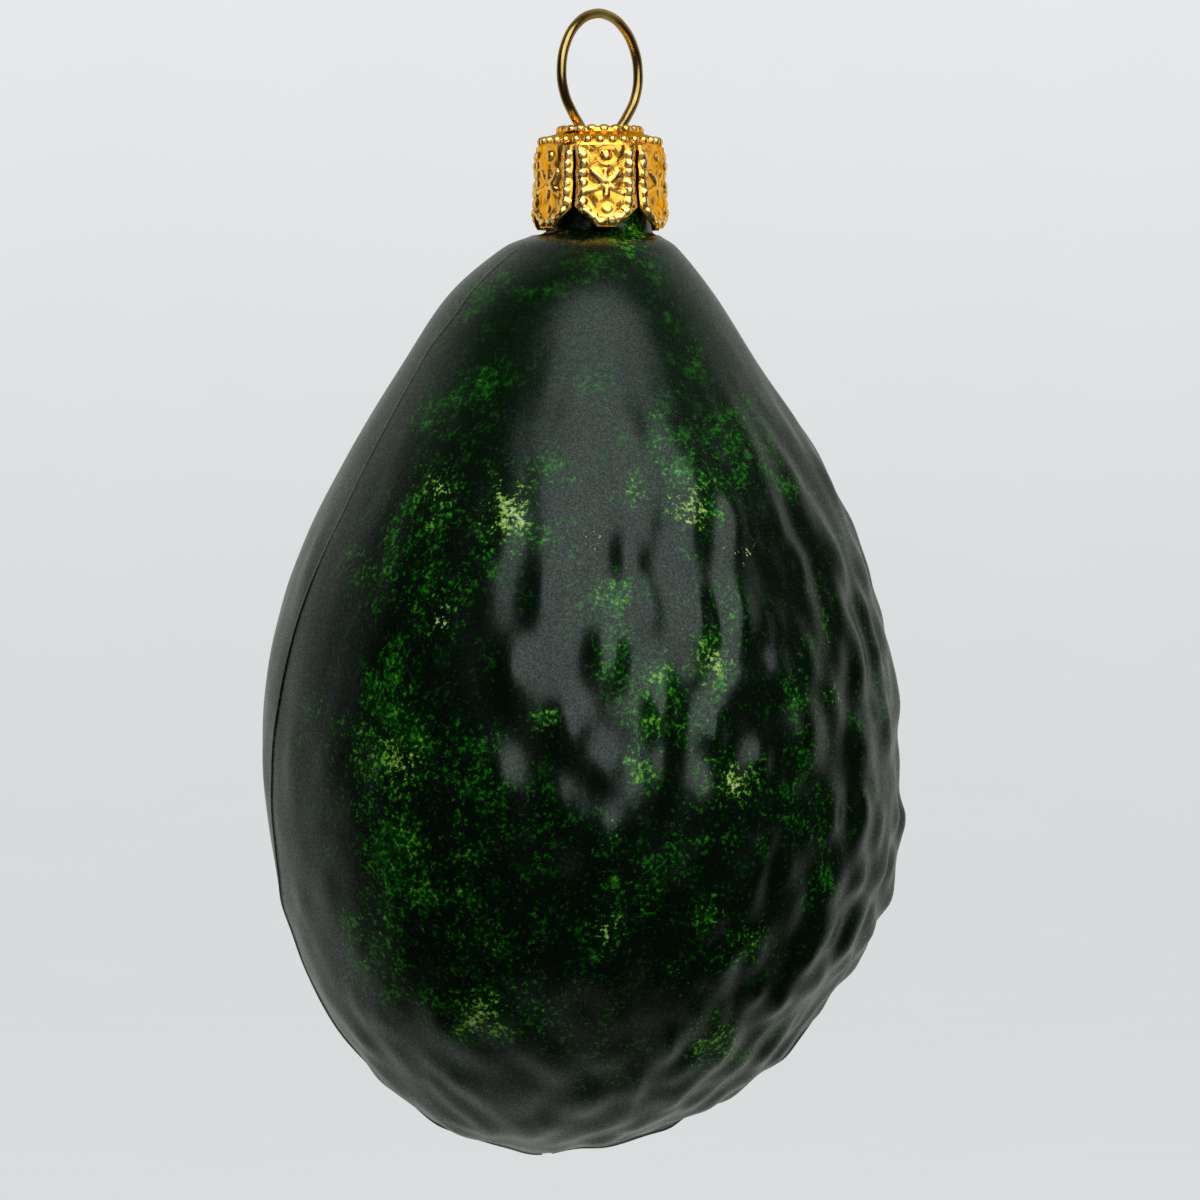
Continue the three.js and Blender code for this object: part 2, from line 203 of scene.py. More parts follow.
def hills_at(points, hills):
    """How far a set of hills raises each point, a few thousand points at a time."""
    total = np.zeros(len(points))
    for first in range(0, len(points), 4096):
        away = points[first:first + 4096, None] - hills["centre"][None]
        lengthwise = (away * hills["along"][None]).sum(-1)
        squared = (away**2).sum(-1) + (1 / hills["stretch"]**2 - 1) * lengthwise**2
        total[first:first + 4096] = (hills["rise"] * np.exp(-squared / hills["size"]**2)).sum(-1)
    return total


lobes = front_lobes()
lumps = spiral_hills(LUMP_COUNT, LUMP_WIDTH, LUMP_HEIGHT, 0, lobes)
swells = spiral_hills(SWELL_COUNT, SWELL_WIDTH, SWELL_HEIGHT, 5000)
hollows = spiral_hills(SWELL_COUNT - 1, SWELL_WIDTH, SWELL_HEIGHT, 9000)
pebbles = spiral_hills(PEBBLE_COUNT, PEBBLE_WIDTH, PEBBLE_HEIGHT, 40000)
print(len(lumps["size"]), "lumps", len(LOBES), "lobes", SWELL_COUNT, "swells", PEBBLE_COUNT, "pebbles")

# %% Relief of the skin
SWELLS_FADE, LUMPS_FADE, PEBBLES_FADE = (22, 36), (27, 58), (22, 50)
SWELLS_CLEAR = (4, 16)
CALM_ROUGHNESS, LOW_ROUGHNESS, LOW_FADE = 0.22, 0.3, (84, 98)
FLANK_FADE, BACK_SHARE = (-30, 18), 0.35


def swell_at(points):
    """The slow in and out of the glass, which its inner skin follows too."""
    fade = smoothstep(-points[:, 2], *SWELLS_FADE) * smoothstep(np.abs(points[:, 1]), *SWELLS_CLEAR)
    return fade * (hills_at(points, swells) - hills_at(points, hollows))


def relief_at(points):
    """How far the skin stands out: calm on the left, rough on the right, at the back and low down."""
    down = -points[:, 2]
    least = CALM_ROUGHNESS + LOW_ROUGHNESS * smoothstep(down, *LOW_FADE)
    rough = least + (1 - least) * smoothstep(points[:, 0] + BACK_SHARE * points[:, 1], *FLANK_FADE)
    lumpy = rough * smoothstep(down, *LUMPS_FADE) * (hills_at(points, lumps) - LUMP_MEAN)
    pebbly = rough**2 * smoothstep(down, *PEBBLES_FADE) * (hills_at(points, pebbles) - PEBBLE_MEAN)
    return swell_at(points) + hills_at(points, lobes) + lumpy + pebbly


lobe_tops = lobes["centre"]
print("relief on the lobes", [round(float(rise), 1) for rise in relief_at(lobe_tops)], "mm")

# %% [markdown]
# ## The seam of the mould
#
# The mould opens in two halves, and molten glass creeps a little way into the gap. That leaves a fine
# line down the ornament's left side and another opposite. It is only a few tenths of a millimetre wide,
# far less than a facet of the skin. So the skin's columns are drawn closer together there and lean with
# the seam, which gives the ridge true faces of its own for few triangles more.

# %% The seam and the columns of the skin
SEAM_HEIGHTS = [-104.0, -96.0, -82.0, -78.6, -70.4, -64.2, -54.0, -45.3, -30.5, -27.5, -12.0]
SEAM_TURNS = [90.0, 88.0, 84.0, 79.0, 75.0, 71.0, 66.5, 63.0, 62.0, 56.0, 48.0]
SEAM_MIDDLE = 66.5
SEAM_HALF_WIDTH = 0.2
SEAM_RISE_LOW, SEAM_RISE_HIGH = 0.17, 0.04
SEAM_GROWS, SEAM_STARTS = (44, 62), (20, 23)
COLUMNS = 284
SEAM_COLUMNS = np.array([0.0, 0.22, 0.44, 0.66, 0.95, 1.35])


def seam_turn(height):
    """How far the seam lies to the left of the front, in radians."""
    return np.radians(np.interp(height, SEAM_HEIGHTS, SEAM_TURNS))


def skin_columns():
    """Turns of the skin's columns: evenly spread, and closer together at the two seams."""
    seams = np.radians([-90 - SEAM_MIDDLE, 90 - SEAM_MIDDLE])
    even = np.linspace(-math.pi, math.pi, COLUMNS, endpoint=False)
    clear = np.radians(SEAM_COLUMNS[-1] + 0.3)
    away = np.abs((even[:, None] - seams[None] + math.pi) % (2 * math.pi) - math.pi)
    even = even[away.min(axis=1) > clear]
    close = np.radians(np.concatenate([-SEAM_COLUMNS[:0:-1], SEAM_COLUMNS]))
    return np.sort(np.concatenate([even, seams[0] + close, seams[1] + close]))


def lean_with_seam(azimuth, height):
    """Moves the columns sideways so that they follow the seam down the skin."""
    shift = np.radians(SEAM_MIDDLE) - seam_turn(height)
    return azimuth + shift * np.cos(azimuth + np.radians(90 + SEAM_MIDDLE))**2


def beside_seam(points, azimuth):
    """Distance from the nearer seam, measured round the skin in millimetres."""
    turn = azimuth + math.pi / 2 + seam_turn(points[:, 2])
    turn = (turn + math.pi / 2) % math.pi - math.pi / 2
    across = points[:, 0] - np.interp(points[:, 2], OUTLINE[::-1, 0], middle[::-1])
    return turn * np.hypot(across, points[:, 1])


def seam_relief(points, azimuth):
    """The ridge of the seam, higher low down."""
    rise = SEAM_RISE_HIGH + (SEAM_RISE_LOW - SEAM_RISE_HIGH) * smoothstep(-points[:, 2], *SEAM_GROWS)
    rise = rise * smoothstep(-points[:, 2], *SEAM_STARTS)
    return rise * np.exp(-(beside_seam(points, azimuth) / SEAM_HALF_WIDTH)**2)


columns = skin_columns()
print(len(columns), "columns round the skin")

# %% [markdown]
# ## Where the lacquer is thin
#
# The green is a transparent lacquer dabbed on in layers over silvered glass, under a satin coat. Most of
# it is so thick that it looks black. Where a dab left it thin the green glows, and where it is bare in
# specks the silver shows through as a pale, yellowish glitter. The larger of these patches are listed one
# by one, each a height, a place across the front, a size and a strength. Seeded ones cover the back. They
# are stored on the skin as attributes, because they belong to this one piece and a shader would need a
# chain of nodes for each.

# %% Thin patches of the lacquer
PALE_PATCHES = [
    [-8.1, -45.6, 1.9, 1.0],
    [8.0, -45.4, 1.5, 1.05],
    [9.9, -58.9, 1.15, 0.95],
    [12.0, -69.6, 1.2, 0.9],
    [0.6, -83.1, 1.1, 0.75],
    [-14.1, -55.1, 1.1, 0.75],
    [-10.4, -90.8, 1.6, 0.65],
    [12.4, -49.2, 1.2, 0.85],
    [-0.7, -48.0, 0.9, 0.7],
    [-17.6, -67.8, 1.2, 0.75],
    [-14.6, -43.6, 1.1, 0.65],
    [21.2, -61.9, 0.9, 0.5],
    [7.4, -87.6, 0.9, 0.5],
]
GREEN_PATCHES = [
    [-18.9, -67.2, 4.0, 0.9],
    [-17.6, -74.6, 4.2, 0.6],
    [-14.0, -78.0, 6.0, 0.4],
    [-8.0, -86.0, 7.0, 0.3],
    [-21.0, -84.0, 4.0, 0.6],
    [-15.0, -44.4, 3.2, 0.55],
    [-16.0, -53.0, 3.6, 0.4],
    [-12.0, -36.0, 5.0, 0.22],
    [-8.1, -45.6, 3.2, 0.9],
    [2.8, -20.4, 1.9, 1.0],
    [0.4, -22.0, 2.0, 0.4],
    [5.6, -38.4, 2.2, 0.7],
    [10.6, -38.8, 3.0, 0.22],
    [8.0, -45.0, 2.6, 1.0],
    [2.8, -43.9, 1.8, 0.7],
    [1.2, -52.8, 1.5, 0.95],
    [10.9, -53.8, 1.3, 1.0],
    [0.7, -58.6, 1.4, 0.95],
    [5.4, -60.6, 1.6, 1.3],
    [4.0, -64.4, 1.4, 1.2],
    [-5.0, -63.8, 1.2, 1.0],
    [3.6, -68.4, 1.8, 1.2],
    [9.9, -59.0, 2.0, 1.0],
    [8.0, -64.6, 2.0, 0.5],
    [0.6, -73.4, 1.4, 0.9],
    [12.0, -69.6, 2.4, 0.9],
    [4.8, -80.4, 1.8, 0.7],
    [9.8, -81.6, 1.6, 0.8],
    [13.0, -84.0, 2.0, 0.7],
    [0.6, -83.1, 2.0, 0.8],
    [-10.4, -90.8, 2.6, 0.9],
    [18.6, -62.0, 3.2, 0.35],
    [-25.0, -68.0, 4.0, 0.3],
    [1.0, -94.0, 5.0, 0.3],
    [10.2, -93.6, 2.8, 0.9],
]
BACK_PATCHES = 60
PATCH_STRETCH = 1.25


def patches_at(points, patches):
    """The strongest of the patches at each point, seen straight from the front."""
    weight = np.zeros(len(points))
    for across, height, size, strength in patches:
        squared = (points[:, 0] - across)**2 + ((points[:, 2] - height) / PATCH_STRETCH)**2
        weight = np.maximum(weight, strength * np.exp(-squared / size**2))
    return weight * smoothstep(-points[:, 1], 0, 3)


def back_patches(points, seed):
    """Patches scattered over the back, away from the listed ones."""
    i = np.arange(BACK_PATCHES)
    place = SHOULDER + (BOTTOM - SHOULDER) * scatter(seed + i)
    azimuth = math.pi * scatter(seed + 400 + i)
    centre = skin(place, azimuth)
    size = 1.0 + 2.0 * scatter(seed + 800 + i)
    strength = 0.3 + 0.6 * scatter(seed + 1200 + i)
    squared = ((points[:, None] - centre[None])**2).sum(-1)
    weight = (strength * np.exp(-squared / size**2)).max(axis=1)
    return weight * smoothstep(points[:, 1], -2, 4)


print(len(PALE_PATCHES), "pale patches", len(GREEN_PATCHES), "green patches")

# %% [markdown]
# ## The glass
#
# The skin is a grid of rings and columns, closer than the solid's by four times each way, with the relief
# added along its normals. Inside it runs a second, plainer skin at the wall's distance, joined to the
# first round the neck's rim, so the glass is a true closed shell, open at the neck.

# %% Meshes from grids of points
def put(name, data):
    """A new object in the scene, at the origin."""
    thing = bpy.data.objects.new(name, data)
    bpy.context.scene.collection.objects.link(thing)
    return thing


def smooth(mesh, angle):
    """Smooth shading, with edges kept sharp where they bend by more than an angle in degrees."""
    mesh.shade_smooth()
    mesh.set_sharp_from_angle(angle=math.radians(angle))


def mesh_object(name, points, faces, smooth_under=60):
    mesh = bpy.data.meshes.new(name)
    mesh.from_pydata((np.asarray(points) * MM).tolist(), [], faces)
    smooth(mesh, smooth_under)
    return put(name, mesh)


def store(mesh, name, values):
    """Keeps a number for each point of a mesh, as a named attribute."""
    layer = mesh.attributes.new(name, "FLOAT", "POINT")
    layer.data.foreach_set("value", np.asarray(values, np.float32))


def ring_faces(rings, sides, first=0, turned_over=False):
    """Four-sided faces between rings of points that close on themselves."""
    faces = []
    for ring in range(rings - 1):
        a = first + ring * sides
        for side in range(sides):
            after = (side + 1) % sides
            face = (a + side, a + sides + side, a + sides + after, a + after)
            faces.append(face[::-1] if turned_over else face)
    return faces


# %% The glass shell
GLASS_WALL = 0.8
OUTER_RINGS, INNER_RINGS = 236, 34
BACK_PALE = 0.8
SEAM_LINE_HALF = 1.2 * SEAM_HALF_WIDTH


def even_places(count):
    """Places down the outline an equal way apart, bar the bottom point itself."""
    fine = np.linspace(0, BOTTOM, 4000)
    line = at_place(fine)
    way = np.concatenate([[0], np.cumsum(np.hypot(np.diff(line[:, 0]), np.diff(line[:, 2])))])
    return np.interp(np.linspace(0, way[-1], count + 1)[:-1], way, fine)


def skin_normals(place, azimuth):
    """Directions straight out of the smooth skin."""
    down = skin(place + 1e-3, azimuth) - skin(place - 1e-3, azimuth)
    across = skin(place, azimuth + 1e-3) - skin(place, azimuth - 1e-3)
    normal = np.cross(down, across)
    return normal / np.linalg.norm(normal, axis=-1, keepdims=True)


def skin_grid(rings, inset):
    """Points, normals and turns of a whole skin, ring by ring from the neck down."""
    place = np.repeat(even_places(rings), len(columns))
    azimuth = np.tile(columns, rings)
    azimuth = lean_with_seam(azimuth, at_place(place)[:, 2])
    return skin(place, azimuth, inset), skin_normals(place, azimuth), azimuth


def shell_faces(sides):
    """Faces of the outer and inner skin, the neck's rim, and the fans round the two bottom points."""
    first_inner = OUTER_RINGS * sides
    last = first_inner + INNER_RINGS * sides
    low, low_inner = first_inner - sides, last - sides
    faces = ring_faces(OUTER_RINGS, sides) + ring_faces(INNER_RINGS, sides, first_inner, turned_over=True)
    for side in range(sides):
        after = (side + 1) % sides
        faces.append((side, after, first_inner + after, first_inner + side))
        faces.append((low + after, low + side, last))
        faces.append((low_inner + side, low_inner + after, last + 1))
    return faces


def mark_lacquer(mesh, points, azimuth):
    """Stores where the lacquer is bare, where it is thin and where the seam runs."""
    bare = np.maximum(patches_at(points, PALE_PATCHES), BACK_PALE * back_patches(points, 20000))
    thin = np.maximum(patches_at(points, GREEN_PATCHES), back_patches(points, 30000))
    store(mesh, "pale", bare)
    store(mesh, "green", thin)
    store(mesh, "seam", np.exp(-(beside_seam(points, azimuth) / SEAM_LINE_HALF)**2))


def blow_glass():
    base, outward, azimuth = skin_grid(OUTER_RINGS, 0)
    outer = base + outward * (relief_at(base) + seam_relief(base, azimuth))[:, None]
    inner, inward, _ = skin_grid(INNER_RINGS, GLASS_WALL)
    inner = inner + inward * swell_at(inner)[:, None]
    bottom = skin(np.array([BOTTOM, BOTTOM]), np.zeros(2), np.array([0.0, GLASS_WALL]))
    rest = np.vstack([inner, bottom])
    piece = mesh_object("avocado_glass", np.vstack([outer, rest]), shell_faces(len(columns)))
    mark_lacquer(piece.data, np.vstack([base, rest]), np.concatenate([azimuth, np.zeros(len(rest))]))
    return piece


glass = blow_glass()
bm = bmesh.new()
bm.from_mesh(glass.data)
print("glass", len(glass.data.polygons), "faces, volume", round(bm.calc_volume() * 1e9), "mm3")
bm.free()

# %% [markdown]
# ## Node trees as written sums
#
# Materials and modifiers are both trees of nodes. Two small helpers keep them short to write: one adds a
# node of any kind with its settings and inputs, the other wraps a socket so that sums on it add the Math
# nodes.

# %% Helpers for trees
class Signal:
    """A socket that can be added, multiplied and so on, as a number can."""

    def __init__(self, tree, socket):
        self.tree = tree
        self.socket = socket

    def maths(self, operation, *values):
        return self.tree.add("ShaderNodeMath", {"operation": operation}, dict(enumerate(values)))

    def __add__(self, other):
        return self.maths("ADD", self, other)

    def __radd__(self, other):
        return self.maths("ADD", other, self)

    def __sub__(self, other):
        return self.maths("SUBTRACT", self, other)

    def __rsub__(self, other):
        return self.maths("SUBTRACT", other, self)

    def __mul__(self, other):
        return self.maths("MULTIPLY", self, other)

    def __rmul__(self, other):
        return self.maths("MULTIPLY", other, self)

    def __truediv__(self, other):
        return self.maths("DIVIDE", self, other)

    def __rtruediv__(self, other):
        return self.maths("DIVIDE", other, self)

    def __abs__(self):
        return self.maths("ABSOLUTE", self)


class Tree:
    """The node tree of a material, world or modifier."""

    def __init__(self, node_tree):
        self.nodes = node_tree.nodes
        self.links = node_tree.links

    def add(self, kind, settings=None, inputs=None, output=0):
        """A node of any kind, with its settings, its inputs, and the output that is wanted of it."""
        node = self.nodes.new(kind)
        for name, value in (settings or {}).items():
            setattr(node, name, value)
        for name, value in (inputs or {}).items():
            if isinstance(value, Signal):
                self.links.new(value.socket, node.inputs[name])
            else:
                node.inputs[name].default_value = value
        return Signal(self, node.outputs[output]) if node.outputs else None

    def noise(self, where, scale, detail=2.0, rough=0.5):
        """Noise with so many waves a metre."""
        return self.add("ShaderNodeTexNoise", {"noise_dimensions": "3D"},
                        {"Vector": where, "Scale": scale, "Detail": detail, "Roughness": rough})

    def between(self, value, low, high, to_low=0.0, to_high=1.0):
        """A value taken smoothly from one range to another."""
        ends = {"From Min": low, "From Max": high, "To Min": to_low, "To Max": to_high}
        return self.add("ShaderNodeMapRange", {"interpolation_type": "SMOOTHSTEP"}, {"Value": value, **ends})

    def blend(self, share, first, second):
        """One colour turned into another by a share."""
        return self.add("ShaderNodeMix", {"data_type": "RGBA"}, {0: share, 6: first, 7: second}, 2)

    def attribute(self, name):
        """A number stored on the piece."""
        return self.add("ShaderNodeAttribute", {"attribute_name": name}, output="Fac")

    def bump(self, height, strength, deep):
        """Normals of a surface with a relief so many millimetres deep."""
        return self.add("ShaderNodeBump", {}, {"Strength": strength, "Distance": deep * MM, "Height": height})

    def part(self, vector, axis):
        """The X, Y or Z of a vector."""
        return self.add("ShaderNodeSeparateXYZ", {}, {0: vector}, axis)


def colour(red, green, blue):
    return (red, green, blue, 1.0)


def new_material(name):
    material = bpy.data.materials.new(name)
    material.use_nodes = True
    material.node_tree.nodes.clear()
    return material, Tree(material.node_tree)


def close_material(tree, inputs):
    shader = tree.add("ShaderNodeBsdfPrincipled", {}, inputs)
    tree.add("ShaderNodeOutputMaterial", {}, {"Surface": shader})


# %% [markdown]
# ## The lacquer
#
# Three colours lie over each other: the near-black green of thick lacquer, the clear green where it is
# thin, and the pale glitter where it is almost bare. Each comes in specks of about a third of a
# millimetre, gathered into clouds some millimetres wide, so a fine noise with thin curls in it is cut at
# a level that a coarse noise and the stored patches move up and down. Near the neck the specks melt into
# a haze. The satin coat is a wide, weak gloss over it all, tinted a little green, with a grain of its own
# and a second gloss that comes and goes from speck to speck.

# %% Lacquer material
THICK = colour(0.0009, 0.006, 0.0014)
DEEP = colour(0.0025, 0.042, 0.002)
CLEAR = colour(0.016, 0.23, 0.005)
LIME = colour(0.28, 0.58, 0.05)
SILVER = colour(0.78, 0.9, 0.45)
SEAM_LINE = colour(0.0012, 0.003, 0.0014)
COAT_TINT = colour(0.82, 1.0, 0.88)
SATIN = 0.25
CLOUDS, DRIFTS, MOTTLE, CURLS, SPECKS = 130.0, 420.0, 1350.0, 1700.0, 2500.0
SAGS, SPARKS, GRAIN = 900.0, 5200.0, 7000.0
HAZE_COMES, HAZE_GOES = (-0.046, -0.028), (-0.0225, -0.0205)


def lacquer_colour(tree, where, drifts):
    pale, green, seam = (tree.attribute(name) for name in ("pale", "green", "seam"))
    clouds = tree.noise(where, CLOUDS, 3.0, 0.55)
    mottle = tree.noise(where, MOTTLE, 3.0, 0.6)
    specks = tree.noise(where, SPECKS, 3.0, 0.6)
    curls = 1.0 - tree.between(abs(tree.noise(where, CURLS, 1.0, 0.5) - 0.5), 0.0, 0.07)
    height = tree.part(where, "Z")
    haze = tree.between(height, *HAZE_COMES) * (1.0 - tree.between(height, *HAZE_GOES))

    zone = tree.between(clouds, 0.44, 0.72) * 0.44 + green * 0.72
    depth = tree.between(zone + (drifts - 0.5) * 1.2 + (mottle - 0.5) * 1.6, 0.15, 1.1)
    speckled = specks + (drifts - 0.5) * 0.4 + (mottle - 0.5) * 0.3 + curls * 0.07
    glow = tree.between(speckled + zone * 0.14, 0.6, 0.73) * tree.between(zone, 0.0, 0.5, 0.18, 0.9)
    glow = glow * (1.0 - haze * 0.5) + haze * (depth * 0.35 + 0.03)
    bright = tree.between(speckled + green * 0.12 + pale * 0.16, 0.72, 0.82)
    bright = bright * tree.between(zone + pale, 0.05, 0.6) * (1.0 - haze * 0.8)
    glitter = tree.between(speckled + pale * 0.21, 0.76, 0.84) * tree.between(pale, 0.05, 0.5)

    paint = tree.blend(depth, THICK, DEEP)
    paint = tree.blend(glow, paint, CLEAR)
    paint = tree.blend(bright, paint, LIME)
    paint = tree.blend(glitter, paint, SILVER)
    return tree.blend(seam * 0.5, paint, SEAM_LINE)


def lacquer():
    material, tree = new_material("satin_green_lacquer")
    where = tree.add("ShaderNodeTexCoord", output="Object")
    drifts = tree.noise(where, DRIFTS, 2.0, 0.6)
    surface = tree.noise(where, GRAIN, 2.0, 0.6) * 0.45 + tree.noise(where, SAGS, 2.0, 0.5) * 0.6
    close_material(tree, {
        "Base Color": lacquer_colour(tree, where, drifts),
        "Roughness": tree.between(drifts, 0.3, 0.7, SATIN - 0.02, SATIN + 0.03),
        "IOR": 1.42,
        "Specular Tint": COAT_TINT,
        "Coat Weight": tree.between(tree.noise(where, SPARKS, 1.0, 0.7), 0.35, 0.7, 0.0, 0.7),
        "Coat Roughness": 0.3,
        "Normal": tree.bump(surface, 0.35, 0.03),
    })
    return material


glass.data.materials.append(lacquer())
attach(glass, "root")
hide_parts("glass_body")
print("lacquer nodes", len(glass.data.materials[0].node_tree.nodes))

# %% [markdown]
# ## One petal of the crown
#
# The crown is stamped from thin brass-coloured sheet. Its skirt is slit into six petals, each pressed
# with a border of beads, a boss, a six-armed star and a smaller boss below. Pressing moves the sheet in
# and out without changing its outline, so a petal is a fine grid bent round the neck, pushed out by a
# height at each point. The height is the highest of the stamped shapes there, as with a real die.

# %% Stamped heights
SHEET = 0.3
SKIRT = np.array([[-11.9, 5.75], [-12.3, 5.75], [-15.5, 5.8], [-18.0, 6.03], [-19.4, 6.03]])
SLIT_FOOT, PETAL_TIP = -17.6, -19.4
SLIT_HALF, TIP_HALF = 0.16, 0.85
PETALS = 6
FRONT_PETAL = math.radians(-84)
SIDE_BEADS = [[2.2, -12.75 - 0.86 * row, 0.5, 0.43] for row in range(6)]
EDGE_BEADS = [[1.86, -17.85, 0.5, 0.42], [1.24, -18.38, 0.48, 0.4], [0.5, -18.85, 0.5, 0.36]]
BOSSES = [[-12.8, 0.5, 0.5, 0.25], [-13.75, 0.24, 0.2, 0.1], [-17.7, 0.5, 0.48, 0.16]]
STAR_CENTRE, STAR_WIDTH = -15.5, 0.3
STAR_ARMS = [[92, 1.5], [47, 1.9], [137, 2.0], [200, 2.0], [334, 2.0], [268, 1.3]]
HOLLOWS = [[-12.8, 0.95, 0.9, -0.08], [-12.8, 0.5, 0.5, 0.08], [-17.7, 0.85, 0.8, -0.05]]
BEAD_RISE, STAR_RISE, BORDER_RISE, PILLOW_RISE, CRUMPLE_RISE = 0.26, 0.2, 0.14, 0.07, 0.05
STRIKE = 0.8


def dome(squared):
    return np.sqrt(np.clip(1 - squared, 0, 1))


def oval(across, height, at, up, half_across, half_up):
    """A dome of height 1 on an oval foot."""
    return dome(((across - at) / half_across)**2 + ((height - up) / half_up)**2)


def star_arm(across, height, angle, length):
    """A rounded bar of height 1 that leaves the star's centre at an angle."""
    along_x, along_z = math.cos(math.radians(angle)), math.sin(math.radians(angle))
    dx, dz = across, height - STAR_CENTRE
    way = np.clip(dx * along_x + dz * along_z, 0.35, length - STAR_WIDTH)
    squared = (dx - way * along_x)**2 + (dz - way * along_z)**2
    return dome(squared / STAR_WIDTH**2)


def skirt_radius(height):
    return np.interp(-height, -SKIRT[:, 0], SKIRT[:, 1])


def petal_half(height):
    """Half the width of a petal at a height."""
    straight = math.pi * skirt_radius(height) / PETALS - SLIT_HALF
    widest = math.pi * skirt_radius(SLIT_FOOT) / PETALS - SLIT_HALF
    share = np.clip((SLIT_FOOT - height) / (SLIT_FOOT - PETAL_TIP), 0, 1)
    return straight + share * (TIP_HALF - widest)


def stamped(across, height):
    """How far the press moved the sheet out at a point of a petal."""
    raised = np.zeros(len(across))
    for up, half_across, half_up, rise in BOSSES:
        raised = np.maximum(raised, rise * oval(across, height, 0, up, half_across, half_up))
    for angle, length in STAR_ARMS:
        raised = np.maximum(raised, STAR_RISE * star_arm(across, height, angle, length))
    for at, up, half_across, half_up in SIDE_BEADS + EDGE_BEADS:
        for side in (-1, 1):
            raised = np.maximum(raised, BEAD_RISE * oval(across, height, side * at, up, half_across, half_up))
    edge = np.minimum(petal_half(height) - np.abs(across), height - PETAL_TIP)
    border = BORDER_RISE * smoothstep(1.25 - edge, 0, 0.55) * (1 - smoothstep(0.3 - edge, 0, 0.3))
    pillow = PILLOW_RISE * np.sin(3.1 * across + 0.8) * np.sin(2.7 * height + 0.4)
    sunk = sum(rise * oval(across, height, 0, up, a, b) for up, a, b, rise in HOLLOWS)
    return border + STRIKE * raised + pillow + sunk


print("star of", len(STAR_ARMS), "arms, beads a side", len(SIDE_BEADS) + len(EDGE_BEADS))

# %% The petal's mesh
PETAL_COLUMNS, PETAL_ROWS = 61, 84
BACK_STRIKE = 0.7


def petal_faces():
    """Faces of both sides of the sheet, and of its edge all round."""
    inner = PETAL_ROWS * PETAL_COLUMNS
    faces = []
    for row in range(PETAL_ROWS - 1):
        for column in range(PETAL_COLUMNS - 1):
            a = row * PETAL_COLUMNS + column
            b = a + PETAL_COLUMNS
            faces += [(a, b, b + 1, a + 1), (inner + a + 1, inner + b + 1, inner + b, inner + a)]
    border = [row * PETAL_COLUMNS for row in range(PETAL_ROWS)]
    border += [(PETAL_ROWS - 1) * PETAL_COLUMNS + column for column in range(1, PETAL_COLUMNS)]
    border += [row * PETAL_COLUMNS + PETAL_COLUMNS - 1 for row in range(PETAL_ROWS - 2, -1, -1)]
    border += [column for column in range(PETAL_COLUMNS - 2, 0, -1)]
    for here, there in zip(border, border[1:] + border[:1]):
        faces.append((there, here, inner + here, inner + there))
    return faces


def press_petal():
    height = np.repeat(np.linspace(SKIRT[0, 0], PETAL_TIP, PETAL_ROWS), PETAL_COLUMNS)
    across = petal_half(height) * np.tile(np.linspace(-1, 1, PETAL_COLUMNS), PETAL_ROWS)
    radius = skirt_radius(height)
    rise = stamped(across, height)
    crumple = np.sin(2.9 * across + 1.7 * height) * np.sin(2.3 * height - 1.9 * across + 0.6)
    sheet = radius + CRUMPLE_RISE * crumple
    turn = across / radius
    sides = (sheet + rise, sheet + BACK_STRIKE * rise - SHEET)
    points = np.vstack([np.column_stack([r * np.cos(turn), r * np.sin(turn), height]) for r in sides])
    piece = mesh_object("petal", points, petal_faces(), smooth_under=50)
    store(piece.data, "stamped", np.tile(rise, 2))
    return piece


petal = press_petal()
print("petal", len(petal.data.polygons), "faces")

# %% [markdown]
# ## Turning copies round the axis
#
# Petals and beads repeat evenly round the crown. A small Geometry Nodes tree does that: it puts a row of
# points on the axis, stands a copy of the piece on each, and turns every copy a step further. The piece
# is modelled where its first copy belongs, so a turn is all that it needs. An array of hand-placed
# duplicates would look the same but could not be changed by one number.

# %% Turned copies
def new_group(name, inputs):
    """A Geometry Nodes tree with named inputs, and a signal for each of them."""
    group = bpy.data.node_groups.new(name, "GeometryNodeTree")
    for title, kind in inputs.items():
        group.interface.new_socket(title, in_out="INPUT", socket_type="NodeSocket" + kind)
    group.interface.new_socket("Geometry", in_out="OUTPUT", socket_type="NodeSocketGeometry")
    tree = Tree(group)
    return group, tree, [tree.add("NodeGroupInput", output=title) for title in inputs]


def close_group(tree, made, material):
    real = tree.add("GeometryNodeRealizeInstances", {}, {"Geometry": made})
    dressed = tree.add("GeometryNodeSetMaterial", {}, {"Geometry": real, "Material": material})
    tree.add("NodeGroupOutput", {}, {0: dressed})


def turning_tree():
    inputs = {"Geometry": "Geometry", "Count": "Int", "First Turn": "Float", "Material": "Material"}
    group, tree, (piece, count, first, material) = new_group("Turned copies", inputs)
    turn = first + tree.add("GeometryNodeInputIndex") * (2 * math.pi) / count
    turn = tree.add("ShaderNodeCombineXYZ", {}, {"Z": turn})
    points = tree.add("GeometryNodePoints", {}, {"Count": count})
    places = {"Points": points, "Instance": piece, "Rotation": turn}
    close_group(tree, tree.add("GeometryNodeInstanceOnPoints", {}, places), material)
    return group


def frozen(piece):
    """The plain mesh that a piece's modifiers make, with the modifiers taken off again."""
    evaluated = piece.evaluated_get(bpy.context.evaluated_depsgraph_get())
    mesh = bpy.data.meshes.new_from_object(evaluated)
    piece.modifiers.clear()
    return mesh


def result_of(piece, group, values):
    """The plain mesh that a tree makes of a piece."""
    modifier = piece.modifiers.new(group.name, "NODES")
    modifier.node_group = group
    for item in group.interface.items_tree:
        if item.in_out == "INPUT" and item.name in values:
            modifier[item.identifier] = values[item.name]
    return frozen(piece)


turned_copies = turning_tree()
print("inputs", [i.name for i in turned_copies.interface.items_tree if i.in_out == "INPUT"])
